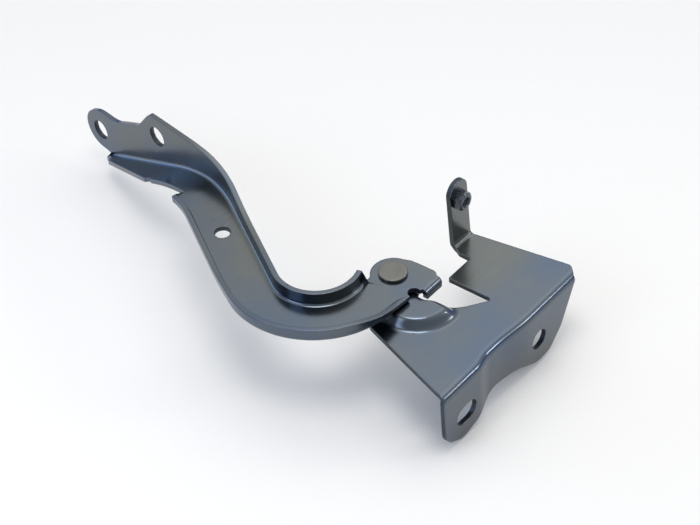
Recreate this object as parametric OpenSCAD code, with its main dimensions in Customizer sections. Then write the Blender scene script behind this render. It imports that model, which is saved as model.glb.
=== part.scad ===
// Bonnet hinge: a gooseneck arm riveted to a body bracket, both pressed from plated sheet steel.
// Frame: the origin is the centre of the round body bolt hole, on the outer face of the body flange.
// +X runs along the flange, the flange faces -Y, and +Z is parallel to the pivot rivet.

/* [Sheet] */
// Thickness of both pressings
sheet_t = 3; // [2:0.1:4]
// Inside radius of the pressed bends
bend_r = 2; // [1:0.1:3]
// Inside radius of the fold between the bracket's plate and its flange
fold_r = 1; // [0.6:0.1:2]

/* [Pivot] */
// Distance of the pivot from the round bolt hole along the flange
pivot_x = -32.5; // [-40:0.5:-25]
// Distance of the pivot behind the flange's outer face
pivot_y = 72.5; // [66:0.5:80]
// Height of the bracket plate's top over the round bolt hole
plate_z = 22.5; // [20:0.5:26]
// Height of the pressed boss over the plate
boss_h = 5.5; // [4.5:0.1:7]
// Thickness of the thrust washer between boss and arm
thrust_t = 1; // [0.6:0.1:1.6]
// Diameter of the rivet's shoulder
shoulder_d = 10; // [8:0.1:11]
// Diameter of the rivet's tenon through the bracket
tenon_d = 8; // [6:0.1:9]
// Diameter of the rivet's flat head
head_d = 16; // [14:0.1:18]
// Height of the rivet's flat head
head_h = 1.8; // [1.4:0.1:3]
// Wall of the pivot bush
bush_wall = 1; // [0.8:0.1:1.4]
// Radial running clearance between shoulder and bush
run_gap = 0.04; // [0.02:0.01:0.08]
// Diameter of the backing washer under the bracket
backing_d = 15; // [13:0.5:18]
// Thickness of the backing washer
backing_t = 1.2; // [0.8:0.1:2]
// Diameter of the peened end
peen_d = 11.6; // [10:0.1:12.4]
// Height of the peened end
peen_h = 2.2; // [1.5:0.1:3]

/* [Arm gooseneck] */
// Centre of the gooseneck from the pivot, along X
neck_x = -24; // [-27:0.5:-21]
// Centre of the gooseneck from the pivot, along Y
neck_y = 32; // [30:0.5:35]
// Radius of the inner flange's free side in the gooseneck
neck_r = 22; // [19:0.5:24]
// Angle round the gooseneck at which the inner flange stops
neck_end = 291; // [284:1:294]
// Direction of the straight part
arm_dir = 59.4; // [56:0.1:62]
// Length of the straight part
straight_l = 70; // [60:1:80]
// Overall width of the channel on the straight part
channel_w = 30; // [27:0.5:33]
// Overall width of the channel in the gooseneck
neck_w = 27.8; // [25:0.1:30]
// Distance along the arm at which the inner flange starts to rise
rise_s = 42; // [30:1:60]
// Distance before the rear bonnet bolt hole at which the inner flange is at its full height
rise_gap = 28; // [20:1:36]
// Distance each side of the gooseneck's end over which the outer lip changes its height
lip_blend = 25; // [15:1:35]
// Height of the inner flange over the web
inner_h = 8; // [6:0.5:10]
// Height of the outer lip over the web on the straight part
lip_h = 3; // [2:0.1:4]
// Height of the outer lip over the web at the bottom of the gooseneck
lip_neck_h = 5.5; // [4:0.1:7]
// Distance along the arm at which the outer lip stops
lip_stop = 101; // [96:1:106]
// Length over which the outer lip's end is rounded
lip_round = 4; // [3:0.5:6]
// Diameter of the drain hole in the web
web_hole_d = 8.6; // [6:0.1:10]
// Distance of the drain hole along the straight part
web_hole_s = 51.6; // [40:0.5:62]

/* [Arm bonnet end] */
// Radius of the sideways turn before the bonnet flange
turn_r = 90; // [70:1:120]
// Angle of the sideways turn before the bonnet flange
turn_a = 22.8; // [18:0.1:27]
// Distance along the arm at which the web starts to fall
fall_s = 92; // [86:1:98]
// Radius of the fall's bend
fall_r = 90; // [70:1:110]
// Angle of the fall
fall_a = 23.3; // [19:0.1:27]
// Height of the bonnet flange's ridge over the flat web
ridge_h = 17; // [14:0.5:20]
// Width of the falling web before it tapers
tail_w = 20.4; // [18:0.1:23]
// Distance along the arm of the falling web's tip
tip_s = 198.5; // [194:0.5:201]
// Width of the falling web near its tip
tip_w = 8.8; // [8:0.1:10]
// Distance along the arm of the rear bonnet bolt hole
rear_s = 147.5; // [143:0.5:152]
// Height of the rear bonnet bolt hole over the flat web
rear_z = 3.8; // [2:0.1:6]
// Spacing of the two bonnet bolt holes
bonnet_pitch = 64.5; // [60:0.5:68]
// Diameter of the bonnet bolt holes
bonnet_d = 12; // [9:0.1:13]
// Height of the flange's dip over the line of the bonnet bolt holes
dip_h = 6.9; // [6.2:0.1:8]
// Radius of the lobes round the bonnet bolt holes
lobe_r = 13.2; // [11:0.1:14]

/* [Arm nose] */
// Radius of the eye round the pivot
eye_r = 12.4; // [11:0.1:14]
// Reach of the nose beside the pivot
nose_x = 14.4; // [12:0.1:16]
// Distance of the stop tab's outer face from the pivot
stop_y = 23.3; // [22:0.1:25]
// Width of the stop tab
stop_w = 13; // [10:0.1:14]
// Depth of the stop tab below the arm's top
stop_drop = 5.8; // [5:0.1:6.5]
// Distance of the stop tab's left side from the pivot along X
stop_x = -0.5; // [-2:0.1:1]
// Distance of the relief notch's middle left of the stop tab
notch_gap = 4.7; // [3.5:0.1:5.5]
// Distance of the relief notch's middle behind the stop tab's root
notch_in = 2.2; // [1:0.1:3]
// Distance of the corner between eye and inner flange from the pivot along X
crotch_x = -11.2; // [-13:0.1:-10]
// Distance of the corner between eye and inner flange from the pivot along Y
crotch_y = 8; // [7:0.1:9]
// Diameter of the relief notch beside the stop tab
notch_d = 6.6; // [4:0.1:7]

/* [Bracket flange] */
// Distance from the slot's middle to the flange's left end
slot_end = 19; // [16:0.5:24]
// Distance from the round hole to the flange's right end
flange_right = 33; // [30:0.5:37]
// Diameter of the round body bolt hole
body_d = 12; // [9:0.1:13]
// Spacing of the round hole and the slot
body_pitch = 64.5; // [60:0.5:68]
// Distance of the slot below the round hole
slot_drop = 2; // [0:0.1:4]
// Width of the body slot
slot_w = 12; // [9:0.1:13]
// Length of the body slot
slot_l = 16.5; // [14:0.1:19]
// Sideways lean of the plate's left side between flange and arm
side_lean = 19.5; // [16:0.5:23]
// Step of the plate's left side behind the flange's end
side_relief = 0.4; // [0.2:0.1:1]
// Depth of the shallow step in the middle of the flange
step_d = 2; // [1:0.1:3]
// Distance from the slot's middle to the start of the shallow step
step_in = 10.5; // [9:0.5:14]
// Distance from the round hole to the end of the shallow step
step_out = 8; // [7:0.5:14]
// Distance of the waist above the round hole's lobe bottom
lobe_drop = 16.5; // [14:0.5:18]

/* [Bracket tab] */
// Height of the tab over the plate
tab_h = 43.6; // [40:0.2:48]
// Distance of the nut's middle below the tab's top
nut_drop = 12.1; // [10:0.1:16]
// Distance of the nut from the pivot along X
nut_x = 48.8; // [46:0.2:52]
// Distance of the tab's front face from the pivot along Y
tab_y = -7; // [-9:0.2:-6]
// Radius of the tab's round top
tab_r = 7.6; // [7:0.1:9]
// Width of the weld nut across its flats
nut_af = 10; // [8:0.1:11]
// Height of the weld nut
nut_h = 5; // [4:0.1:6]
// Diameter of the nut's thread bore
thread_d = 5; // [4:0.1:6]
// Diameter of the hole in the tab behind the nut
tab_hole_d = 7; // [6:0.1:8]

/* [Hidden] */
$fn = 96;
boss_z = plate_z + boss_h;
arm_z = boss_z + thrust_t;
arm_top = arm_z + sheet_t;
bush_d = shoulder_d + 2 * run_gap + 2 * bush_wall;
outer_r = bend_r + sheet_t;
fold_o = fold_r + sheet_t;
turn_l = turn_r * turn_a * PI / 180;
turn_end = straight_l + turn_l;
fall_k = tan(fall_a);
fall_end = fall_s + fall_r * fall_k;
neck_l = neck_r * (neck_end - arm_dir - 90) * PI / 180;
neck_out = neck_r + neck_w;
pitch_a = fall_a + 1.2;
bonnet_dir = arm_dir + turn_a;
flange_left = body_pitch + slot_end;
nut_z = tab_h - nut_drop;
front_s = rear_s + bonnet_pitch * cos(pitch_a);
front_z = rear_z - bonnet_pitch * sin(pitch_a);

// smooth step from 0 at a to 1 at b
function ease(s, a, b) = s <= a ? 0 : s >= b ? 1 : let (u = (s - a) / (b - a)) u * u * (3 - 2 * u);

// points of a polygon whose corners [x, y, r] are rounded with r
function corner(p, q, n) =
    let (a = [p[0] - q[0], p[1] - q[1]])
    let (b = [n[0] - q[0], n[1] - q[1]])
    let (u = a / norm(a))
    let (v = b / norm(b))
    let (half = acos(u * v) / 2)
    let (mid = (u + v) / norm(u + v))
    let (c = [q[0], q[1]] + mid * q[2] / sin(half))
    let (turn = sign(u[0] * v[1] - u[1] * v[0]))
    let (start = atan2(-mid[1], -mid[0]) + turn * (90 - half))
    let (k = ceil((90 - half) / 5) + 1)
    [for (i = [0 : k]) let (g = start - turn * (180 - 2 * half) * i / k) c + q[2] * [cos(g), sin(g)]];
function rounded(v) =
    let (m = len(v))
    [for (i = [0 : m - 1])
        for (p = v[i][2] > 0 ? corner(v[(i + m - 1) % m], v[i], v[(i + 1) % m]) : [[v[i][0], v[i][1]]]) p];

// the arm's path is the free side of its inner flange, s is the distance from the end of the gooseneck
function heading(s) = s < 0 ? arm_dir - s / neck_r * 180 / PI
    : s < straight_l ? arm_dir
    : s < turn_end ? arm_dir + (s - straight_l) / turn_r * 180 / PI
    : bonnet_dir;
function across(a) = [-sin(a), cos(a)];
function along(a) = [cos(a), sin(a)];
neck_c = [neck_x, neck_y];
turn_c = neck_c + across(arm_dir) * (neck_r + turn_r) + along(arm_dir) * straight_l;
function path(s) = s < 0 ? neck_c + across(heading(s)) * neck_r
    : s < straight_l ? neck_c + across(arm_dir) * neck_r + along(arm_dir) * s
    : s < turn_end ? turn_c - across(heading(s)) * turn_r
    : turn_c - across(bonnet_dir) * turn_r + along(bonnet_dir) * (s - turn_end);

// heights of web, flange and lip along the path, measured from the flat web's top
function web_h(s) = s < fall_s ? 0
    : s < fall_end ? -(s - fall_s) * (s - fall_s) / (2 * fall_r)
    : -fall_k * fall_k * fall_r / 2 - fall_k * (s - fall_end);
function web_k(s) = s < fall_s ? 0 : s < fall_end ? (s - fall_s) / fall_r : fall_k;
// the lip's end is rounded in height and in plan
function lip_left(s) = let (u = (s - lip_stop + lip_round) / (lip_round * 1.05)) u <= 0 ? 1 : sqrt(1 - u * u);
function lip(s) = s > lip_stop ? 0
    : lip_left(s) * (lip_h + (lip_neck_h - lip_h) * (1 - ease(s, -lip_blend, lip_blend))) * ease(s, -neck_l + 2, -neck_l + 22);
function width(s) = s > lip_stop ? tail(s)
    : heading(s) > 180 ? neck_out / -sin(heading(s) + 90) - neck_r
    : neck_w + (channel_w - neck_w) * ease(s, -lip_blend - 5, lip_blend) - lip_round * (1 - lip_left(s));
function tail(s) = s < rear_s - 6.5 ? tail_w - ease(s, rear_s - 14, rear_s - 10.5) + ease(s, rear_s - 10, rear_s - 7)
    : tail_w - (tail_w - tip_w) * (s - rear_s + 6.5) / (tip_s - rear_s + 6.5) - 2.2 * ease(s, tip_s - 7, tip_s);

// the bonnet flange runs along the line of its two holes, with a lobe round each and a dip between them
function hole_line(s) = rear_z - (s - rear_s) * tan(pitch_a);
crest_s = rear_s + 5;
lobe_s = front_s + lobe_r * sin(pitch_a);
function flange_h(s) = s < crest_s ? inner_h + (ridge_h - inner_h) * ease(s, rise_s, rear_s - rise_gap)
    : s < lobe_s ? hole_line(s) + dip_h
        + (ridge_h - hole_line(crest_s) - dip_h) * (1 - ease(s, crest_s - 1, crest_s + 15))
        + (lobe_r / cos(pitch_a) - dip_h) * ease(s, front_s - 21, front_s + 3)
    : front_z + sqrt(lobe_r * lobe_r - (s - front_s) * (s - front_s));
function flange_low(s) = s < front_s + 2 ? front_z - lobe_r * 0.98 - 0.1 * (front_s + 2 - s)
    : front_z - sqrt(lobe_r * lobe_r - (s - front_s) * (s - front_s));

// cross section at s as [across, height]: flange, web and lip with rounded bends
function arc(x, z, rx, rz, a, b) = [for (i = [0 : 3]) let (g = a + (b - a) * i / 3) [x + rx * cos(g), z + rz * sin(g)]];
function channel_ring(s) =
    let (w = width(s), h = lip(s), top = flange_h(s), z = web_h(s))
    let (t = sheet_t, low = z - sheet_t * sqrt(1 + web_k(s) * web_k(s)))
    let (wall = 0.3 + (t - 0.3) * h / (h + 0.02), ex = 0.3 + bend_r * 0.7 * h / (h + 0.5))
    let (ez = bend_r * 0.8 * h / (h + 1.2), ro = 0.4 + 3.2 * h / (h + 0.5))
    concat(
        [[0, top]],
        arc(outer_r, low + outer_r, outer_r, outer_r, 180, 270),
        arc(w - ro, low + ro, ro, ro, 270, 360),
        [[w, z + h], [w - wall + 0.1 / (1 + 9 * h), z + h]],
        arc(w - wall - ex, z + ez, ex, ez, 360, 270),
        arc(t + bend_r, z + bend_r, bend_r, bend_r, 270, 180),
        [[t, top]]);
// past the web's tip only the flange is left
function lobe_ring(s) =
    let (top = flange_h(s), low = flange_low(s), t = sheet_t, q = (top - low) / 20)
    concat(
        [[0, top]],
        [for (i = [3 : -1 : 0]) [0, low + q * i]],
        [for (i = [1 : 4]) [t * i / 5, low]],
        [for (i = [0 : 9]) [t, low + q * i]],
        [[t, top]]);
// a flat cut across the nose, w wide
function nose_ring(w) = concat(
    [[0, 0]],
    [for (i = [1 : 4]) [0, -sheet_t * i / 4]],
    [for (i = [1 : 4]) [w * i / 4, -sheet_t]],
    [for (i = [0 : 9]) [w * (1 - i / 11), 0]],
    [[w / 11, 0]]);

// the nose is cut between its far side, round the eye, and its near side with the stop tab
stop_root = -stop_y + sheet_t;
eye_side = concat(
    [path(-neck_l - 0.2) + across(heading(-neck_l - 0.2)) * sheet_t, [crotch_x, crotch_y]],
    [for (i = [0 : 12]) eye_r * along(138 - 10.5 * i)],
    [[nose_x - 0.5, -1.5], [nose_x + 0.1, -9]],
    [for (i = [0 : 4]) [nose_x - 3.6, stop_root + 4.6] + 4 * along(-i * 12)]);
near_start = path(-neck_l - 0.2) + across(heading(-neck_l - 0.2)) * width(-neck_l);
function near_side(u) = u < 0.5 ? near_start + ([stop_x, stop_root] - near_start) * u / 0.5
    : [stop_x + stop_w * (u - 0.5) / 0.5, stop_root];

stations = concat(
    [for (i = [0 : 27]) -neck_l * (1 - i / 28)],
    [for (i = [0 : 7]) straight_l * i / 8],
    [for (i = [0 : 7]) straight_l + (lip_stop - lip_round - straight_l) * i / 8],
    [for (i = [0 : 5]) lip_stop - lip_round * (1 - sin(i * 18))],
    [lip_stop + 0.2],
    [for (i = [1 : 7]) lip_stop + (rear_s - 15 - lip_stop) * i / 7],
    [for (i = [1 : 8]) rear_s - 15 + i],
    [for (i = [1 : 15]) rear_s - 7 + (tip_s - rear_s) * i / 15],
    [for (i = [1 : 5]) tip_s - 7 + 7 * i / 5]);
lobe_stations = concat(
    [tip_s + 0.3, front_s - 4, front_s, front_s + 2],
    [for (i = [0 : 8]) front_s + lobe_r * sin(pitch_a + (84 - pitch_a) * i / 8)]);

module channel() {
    m = 20;
    far = len(eye_side) - 1;
    nose = [for (i = [far : -1 : 0]) let (a = eye_side[i], b = near_side(i / far), u = (b - a) / norm(b - a))
        [for (q = nose_ring(norm(b - a))) concat(a + u * q[0], [q[1]])]];
    arm = [for (s = stations) [for (q = channel_ring(s)) concat(path(s) + across(heading(s)) * q[0], [q[1]])]];
    lobe = [for (s = lobe_stations) [for (q = lobe_ring(s)) concat(path(s) + across(heading(s)) * q[0], [q[1]])]];
    rings = concat(nose, arm, lobe);
    n = len(rings);
    sides = [for (i = [0 : n - 2]) for (j = [0 : m - 1]) let (a = i * m + j, b = i * m + (j + 1) % m)
        for (f = [[a, a + m, b], [b, a + m, b + m]]) f];
    // each end is closed by triangles round its middle
    ends = [for (j = [0 : m - 1]) let (k = (j + 1) % m, last = (n - 1) * m)
        for (f = [[n * m, j, k], [n * m + 1, last + k, last + j]]) f];
    middles = [for (r = [rings[0], rings[n - 1]]) (r[0] + r[8]) / 2];
    polyhedron(concat([for (r = rings) for (p = r) p], middles), concat(sides, ends), convexity = 8);
}

// places children so that X runs along the bonnet flange, Y is up and Z leaves its free side
module on_bonnet() {
    translate(concat(path(turn_end), [0]))
        rotate([90, 0, bonnet_dir])
            translate([-turn_end, 0, 0])
                children();
}

// the stop tab is bent down past the boss
module stop_tab() {
    translate([stop_x, 0, 0])
        rotate([90, 0, 90])
            linear_extrude(stop_w)
                polygon(concat(
                    [for (i = [0 : 6]) [stop_root - sheet_t * sin(i * 15), -sheet_t + sheet_t * cos(i * 15)]],
                    [[-stop_y, -stop_drop], [stop_root, -stop_drop]]));
}

module hinge_arm() {
    color("silver")
        translate([pivot_x, pivot_y, arm_top])
            difference() {
                union() {
                    channel();
                    stop_tab();
                }
                translate([0, 0, -sheet_t - 1])
                    cylinder(h = sheet_t + 2, d = bush_d);
                translate([stop_x - notch_gap, stop_root + notch_in, -sheet_t - 1])
                    cylinder(h = sheet_t + 2, d = notch_d);
                translate(concat(path(web_hole_s) + across(arm_dir) * channel_w / 2, [-sheet_t - 1]))
                    cylinder(h = sheet_t + 2, d = web_hole_d);
                on_bonnet()
                    for (p = [[rear_s, rear_z], [front_s, front_z]])
                        translate([p[0], p[1], -sheet_t - 1])
                            cylinder(h = sheet_t + 2, d = bonnet_d);
            }
}

// outline of the bracket plate from the pivot, without its flange
module plate_outline() {
    e = eye_r + 0.6;
    l = -flange_left - pivot_x;
    r = flange_right - pivot_x;
    polygon(rounded(concat(
        [[l + 2.4 + side_relief, 7.6 - pivot_y, 0],
        [l + side_lean, -9, 4],
        [-20, 1.5, 8]],
        [for (i = [0 : 15]) concat(e * along(130 - 9.5 * i), [0])],
        [[4, -15.5, 3],
        [-3.2, -19, 1.5],
        [-3, -23, 2],
        [1, -30, 3],
        [9.2, -39, 14],
        [23.4, -48.4, 1.6],
        [22.6, -19.4, 1],
        [42.4, -19.4, 1.5],
        [42.4, -12, 3],
        [44.6, tab_y - bend_r, 0],
        [60, tab_y - bend_r, 0],
        [r + 5, 6.6 - pivot_y, 3],
        [r, 1.5 - pivot_y, 1],
        [r - 3, 4.4 - pivot_y, 0],
        [r - 3, 7.6 - pivot_y, 0]])));
}

module boss_cones(grow, drop) {
    intersection() {
        translate([-1.5, -17, plate_z - drop - 1])
            cylinder(h = boss_h + 1, r1 = 24.6 + grow, r2 = 19.3 + grow);
        // flank on the stop tab's side
        translate([0, 10, plate_z - drop])
            rotate([90, 0, 0])
                linear_extrude(70)
                    polygon([
                        [-60, -2],
                        [6 + grow, -2],
                        [-0.2 + grow, boss_h],
                        [-0.2 + grow, boss_h + 2],
                        [-60, boss_h + 2]]);
    }
    translate([0, 0, plate_z - drop - 1])
        cylinder(h = boss_h + 1, r1 = eye_r + 6 + grow, r2 = eye_r + 0.7 + grow);
}

module plate() {
    difference() {
        union() {
            translate([0, 0, plate_z - sheet_t])
                linear_extrude(sheet_t)
                    plate_outline();
            intersection() {
                boss_cones(0, 0);
                translate([0, 0, plate_z - sheet_t])
                    linear_extrude(boss_h + sheet_t)
                        plate_outline();
            }
        }
        boss_cones(-1, sheet_t);
    }
}

// the body flange is swept along X so that its middle steps back behind the bolted ends
step_a = -body_pitch + step_in;
function step_back(x) = step_d * ease(x, step_a, step_a + 12) * (1 - ease(x, -step_out - 28, -step_out));
module flange() {
    xs = concat([-flange_left - 1], [for (i = [0 : 23]) step_a - (step_a + step_out) * i / 23], [flange_right + 2]);
    deep = -lobe_drop - slot_drop - 6;
    // section as [distance behind the outer face, height]
    ring = concat(
        [[9, plate_z]],
        [for (i = [0 : 6]) [fold_o - fold_o * sin(i * 15), plate_z - fold_o + fold_o * cos(i * 15)]],
        [[0, deep], [sheet_t, deep]],
        [for (i = [6 : -1 : 0]) [fold_o - fold_r * sin(i * 15), plate_z - fold_o + fold_r * cos(i * 15)]],
        [[9, plate_z - sheet_t]]);
    m = len(ring);
    n = len(xs);
    pts = [for (x = xs) for (q = ring) [x, q[0] + (q[0] < 9 ? step_back(x) : 0), q[1]]];
    sides = [for (i = [0 : n - 2]) for (j = [0 : m - 1]) let (a = i * m + j, b = i * m + (j + 1) % m)
        for (f = [[a, a + m, b], [b, a + m, b + m]]) f];
    ends = [[for (j = [0 : m - 1]) j], [for (j = [0 : m - 1]) n * m - 1 - j]];
    intersection() {
        polyhedron(pts, concat(sides, ends), convexity = 6);
        flange_prism();
        // the left end follows the plate's slanting side
        translate([0, 0, -60])
            linear_extrude(120)
                polygon([
                    [-flange_left, -5],
                    [flange_right + 5, -5],
                    [flange_right + 5, 30],
                    [-flange_left + 2.4 * 30 / 7.6, 30],
                    [-flange_left, 0]]);
    }
}

module flange_prism() {
    low = -lobe_drop;
    a = -body_pitch;
    translate([0, 20, 0])
        rotate([90, 0, 0])
            linear_extrude(30)
                polygon(rounded([
                    [-flange_left, plate_z + 1, 0],
                    [-flange_left, plate_z - 6, 0],
                    [-flange_left + 1.6, low + 5, 12],
                    [a - 3, low - slot_drop, 11],
                    [a + 10, low - slot_drop + 3.2, 14],
                    [a + 25, low + 10.6, 12],
                    [a + 46, low + 8.6, 30],
                    [-1, low + 0.2, 16],
                    [10.5, low + 0.4, 9],
                    [21, low + 11, 8],
                    [flange_right - 0.4, plate_z - 4, 0],
                    [flange_right, plate_z + 1, 0]]));
}

module tab() {
    c = nut_x;
    z = plate_z + tab_h - tab_r;
    // tab face, leaning to its round top
    translate([pivot_x, pivot_y + tab_y + sheet_t, 0])
        rotate([90, 0, 0])
            linear_extrude(sheet_t) {
                polygon([
                    [44.6, plate_z + bend_r],
                    [60, plate_z + bend_r],
                    [c + tab_r, z],
                    [c - tab_r, z]]);
                translate([c, z])
                    circle(r = tab_r);
            }
    // bend between plate and tab
    translate([pivot_x + 44.6, pivot_y + tab_y, plate_z])
        rotate([90, 0, 90])
            linear_extrude(60 - 44.6)
                polygon(concat(
                    [[-bend_r - 2, 0]],
                    [for (i = [0 : 6]) [-bend_r + bend_r * sin(i * 15), bend_r - bend_r * cos(i * 15)]],
                    [[0, bend_r + 1], [sheet_t, bend_r + 1]],
                    [for (i = [6 : -1 : 0]) [-bend_r + outer_r * sin(i * 15), bend_r - outer_r * cos(i * 15)]],
                    [[-bend_r - 2, -sheet_t]]));
}

module body_bracket() {
    color("silver")
        difference() {
            union() {
                translate([pivot_x, pivot_y, 0])
                    plate();
                flange();
                tab();
            }
            translate([pivot_x, pivot_y, plate_z])
                cylinder(h = boss_h + 1, d = tenon_d);
            rotate([90, 0, 0])
                translate([0, 0, -10])
                    cylinder(h = 20, d = body_d);
            translate([-body_pitch, 0, -slot_drop])
                rotate([90, 0, 0])
                    translate([0, 0, -10])
                        linear_extrude(20) {
                            for (k = [-1, 1])
                                translate([k * (slot_l - slot_w) / 2, 0])
                                    circle(d = slot_w);
                            square([slot_l - slot_w, slot_w], center = true);
                        }
            translate([pivot_x + nut_x, pivot_y + tab_y + sheet_t + 1, plate_z + nut_z])
                rotate([90, 0, 0])
                    cylinder(h = sheet_t + 2, d = tab_hole_d);
        }
}

module pivot_rivet() {
    edge = 0.5;
    low = boss_z - sheet_t - backing_t;
    color("tan")
        translate([pivot_x, pivot_y, 0])
            rotate_extrude()
                polygon([
                    [0, low - peen_h],
                    [peen_d / 2 - 1.4, low - peen_h],
                    [peen_d / 2, low - peen_h * 0.45],
                    [peen_d / 2, low],
                    [tenon_d / 2, low],
                    [tenon_d / 2, boss_z],
                    [shoulder_d / 2, boss_z],
                    [shoulder_d / 2, arm_top],
                    [head_d / 2, arm_top],
                    [head_d / 2, arm_top + head_h - edge],
                    [head_d / 2 - edge, arm_top + head_h],
                    [0, arm_top + head_h]]);
}

module ring(low, h, inner, outer) {
    translate([pivot_x, pivot_y, low])
        difference() {
            cylinder(h = h, d = outer);
            translate([0, 0, -1])
                cylinder(h = h + 2, d = inner);
        }
}

module pivot_bush() {
    color("peru")
        ring(arm_z, sheet_t, shoulder_d + 2 * run_gap, bush_d);
}

module thrust_washer() {
    color("gray")
        ring(boss_z, thrust_t, shoulder_d, head_d + 4);
}

module backing_washer() {
    color("gray")
        ring(boss_z - sheet_t - backing_t, backing_t, tenon_d, backing_d);
}

module weld_nut() {
    color("dimgray")
        translate([pivot_x + nut_x, pivot_y + tab_y, plate_z + nut_z])
            rotate([90, 0, 0])
                difference() {
                    intersection() {
                        cylinder(h = nut_h, d = nut_af / cos(30), $fn = 6);
                        union() {
                            cylinder(h = nut_h - 1, d = nut_af / cos(30) + 1);
                            translate([0, 0, nut_h - 1])
                                cylinder(h = 1, d1 = nut_af / cos(30) + 1, d2 = nut_af - 0.6);
                        }
                    }
                    translate([0, 0, -1])
                        cylinder(h = nut_h + 2, d = thread_d);
                }
}

hinge_arm();
body_bracket();
pivot_rivet();
pivot_bush();
thrust_washer();
backing_washer();
weld_nut();
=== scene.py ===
import bpy
import bmesh
import math
from mathutils import Matrix, Vector, geometry, kdtree


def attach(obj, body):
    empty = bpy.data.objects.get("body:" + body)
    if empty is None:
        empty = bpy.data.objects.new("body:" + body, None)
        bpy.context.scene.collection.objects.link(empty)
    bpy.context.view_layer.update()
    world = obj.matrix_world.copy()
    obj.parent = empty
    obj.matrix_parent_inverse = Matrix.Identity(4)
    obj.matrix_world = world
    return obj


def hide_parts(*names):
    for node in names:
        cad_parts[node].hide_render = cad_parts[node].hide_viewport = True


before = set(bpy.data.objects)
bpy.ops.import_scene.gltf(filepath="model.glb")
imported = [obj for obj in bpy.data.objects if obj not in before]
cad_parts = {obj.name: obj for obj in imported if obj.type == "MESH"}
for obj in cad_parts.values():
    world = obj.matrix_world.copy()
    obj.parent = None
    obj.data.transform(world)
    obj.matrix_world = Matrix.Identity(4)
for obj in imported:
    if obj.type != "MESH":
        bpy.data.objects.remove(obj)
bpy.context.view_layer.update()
mm = 0.001
scene = bpy.context.scene
scene.view_settings.view_transform = "Standard"


def linear(hexColour):
    parts = [int(hexColour[i:i + 2], 16) / 255 for i in (1, 3, 5)]
    return [c / 12.92 if c <= 0.04045 else ((c + 0.055) / 1.055) ** 2.4 for c in parts] + [1.0]


def ease(s, a, b):
    # 0 up to a and 1 from b on, soft at both ends
    u = min(max((s - a) / (b - a), 0.0), 1.0)
    return u * u * (3 - 2 * u)


def spread(a, b, steps):
    # even places from a to b, with both ends
    return [a + (b - a) * i / steps for i in range(steps + 1)]


def between(p, q, count):
    # points strictly between p and q
    return [tuple(a + (b - a) * k / (count + 1) for a, b in zip(p, q)) for k in range(1, count + 1)]


def along(deg):
    return Vector((math.cos(math.radians(deg)), math.sin(math.radians(deg))))


def across(deg):
    return Vector((-math.sin(math.radians(deg)), math.cos(math.radians(deg))))


def arcPoints(cx, cz, rx, rz, a, b, count):
    turns = [math.radians(g) for g in spread(a, b, count - 1)]
    return [(cx + rx * math.cos(g), cz + rz * math.sin(g)) for g in turns]


def circlePoints(x, y, r, count):
    turns = [2 * math.pi * k / count for k in range(count)]
    return [(x + r * math.cos(g), y + r * math.sin(g)) for g in turns]


def addNode(tree, kind, settings=None, links=None):
    node = tree.nodes.new(kind)
    for key, value in (settings or {}).items():
        if isinstance(key, int) or key in node.inputs:
            node.inputs[key].default_value = value
        else:
            setattr(node, key, value)
    for key, source in (links or {}).items():
        tree.links.new(source, node.inputs[key])
    return node


def emptyTree(owner):
    owner.use_nodes = True
    owner.node_tree.nodes.clear()
    return owner.node_tree


def addObject(name, data):
    obj = bpy.data.objects.new(name, data)
    scene.collection.objects.link(obj)
    return obj


def meshObject(name, bm):
    mesh = bpy.data.meshes.new(name)
    bm.to_mesh(mesh)
    bm.free()
    return addObject(name, mesh)


def skin(name, rings, closed=False, sheared=()):
    # loops of points joined into one skin, its two ends capped unless it closes on itself
    # sheared holds the (ring, point) pairs of the faces that a tool sheared
    bm = bmesh.new()
    rows = [[bm.verts.new(Vector(p) * mm) for p in ring] for ring in rings]
    pairs = list(zip(rows, rows[1:])) + ([(rows[-1], rows[0])] if closed else [])
    for i, (a, b) in enumerate(pairs):
        for j in range(len(a)):
            k = (j + 1) % len(a)
            face = bm.faces.new((a[j], b[j], b[k], a[k]))
            face.material_index = 1 if (i, j) in sheared else 0
    if not closed:
        bm.faces.new(rows[0])
        bm.faces.new(list(reversed(rows[-1])))
    bmesh.ops.recalc_face_normals(bm, faces=bm.faces)
    return meshObject(name, bm)


def bake(obj):
    # the modifiers become plain mesh
    evaluated = obj.evaluated_get(bpy.context.evaluated_depsgraph_get())
    mesh = bpy.data.meshes.new_from_object(evaluated)
    obj.modifiers.clear()
    old = obj.data
    obj.data = mesh
    bpy.data.meshes.remove(old)
    mesh.name = obj.name
    return obj


def weld(obj, gap):
    # points closer than gap become one, and edges left without a face go
    bm = bmesh.new()
    bm.from_mesh(obj.data)
    bmesh.ops.remove_doubles(bm, verts=bm.verts, dist=gap * mm)
    bmesh.ops.delete(bm, geom=[e for e in bm.edges if not e.link_faces], context="EDGES")
    bm.to_mesh(obj.data)
    bm.free()
    return obj


def evenNormals(obj, sharp=50):
    # large flat faces rule the shading, and corners over sharp degrees stay crisp
    obj.data.shade_smooth()
    obj.data.set_sharp_from_angle(angle=math.radians(sharp))
    mod = obj.modifiers.new("normals", "WEIGHTED_NORMAL")
    mod.mode = "FACE_AREA"
    mod.weight = 80
    mod.keep_sharp = True
    return bake(obj)


def markSheared(obj):
    # faces left with the second material index become an attribute that the metal reads
    mark = obj.data.attributes.new("sheared", "FLOAT", "FACE")
    for face in obj.data.polygons:
        mark.data[face.index].value = float(face.material_index > 0)
        face.material_index = 0


def finished(obj, title, sheared=False):
    evenNormals(obj)
    if sheared:
        markSheared(obj)
    print(title, len(obj.data.polygons), "faces")
    return obj


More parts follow.
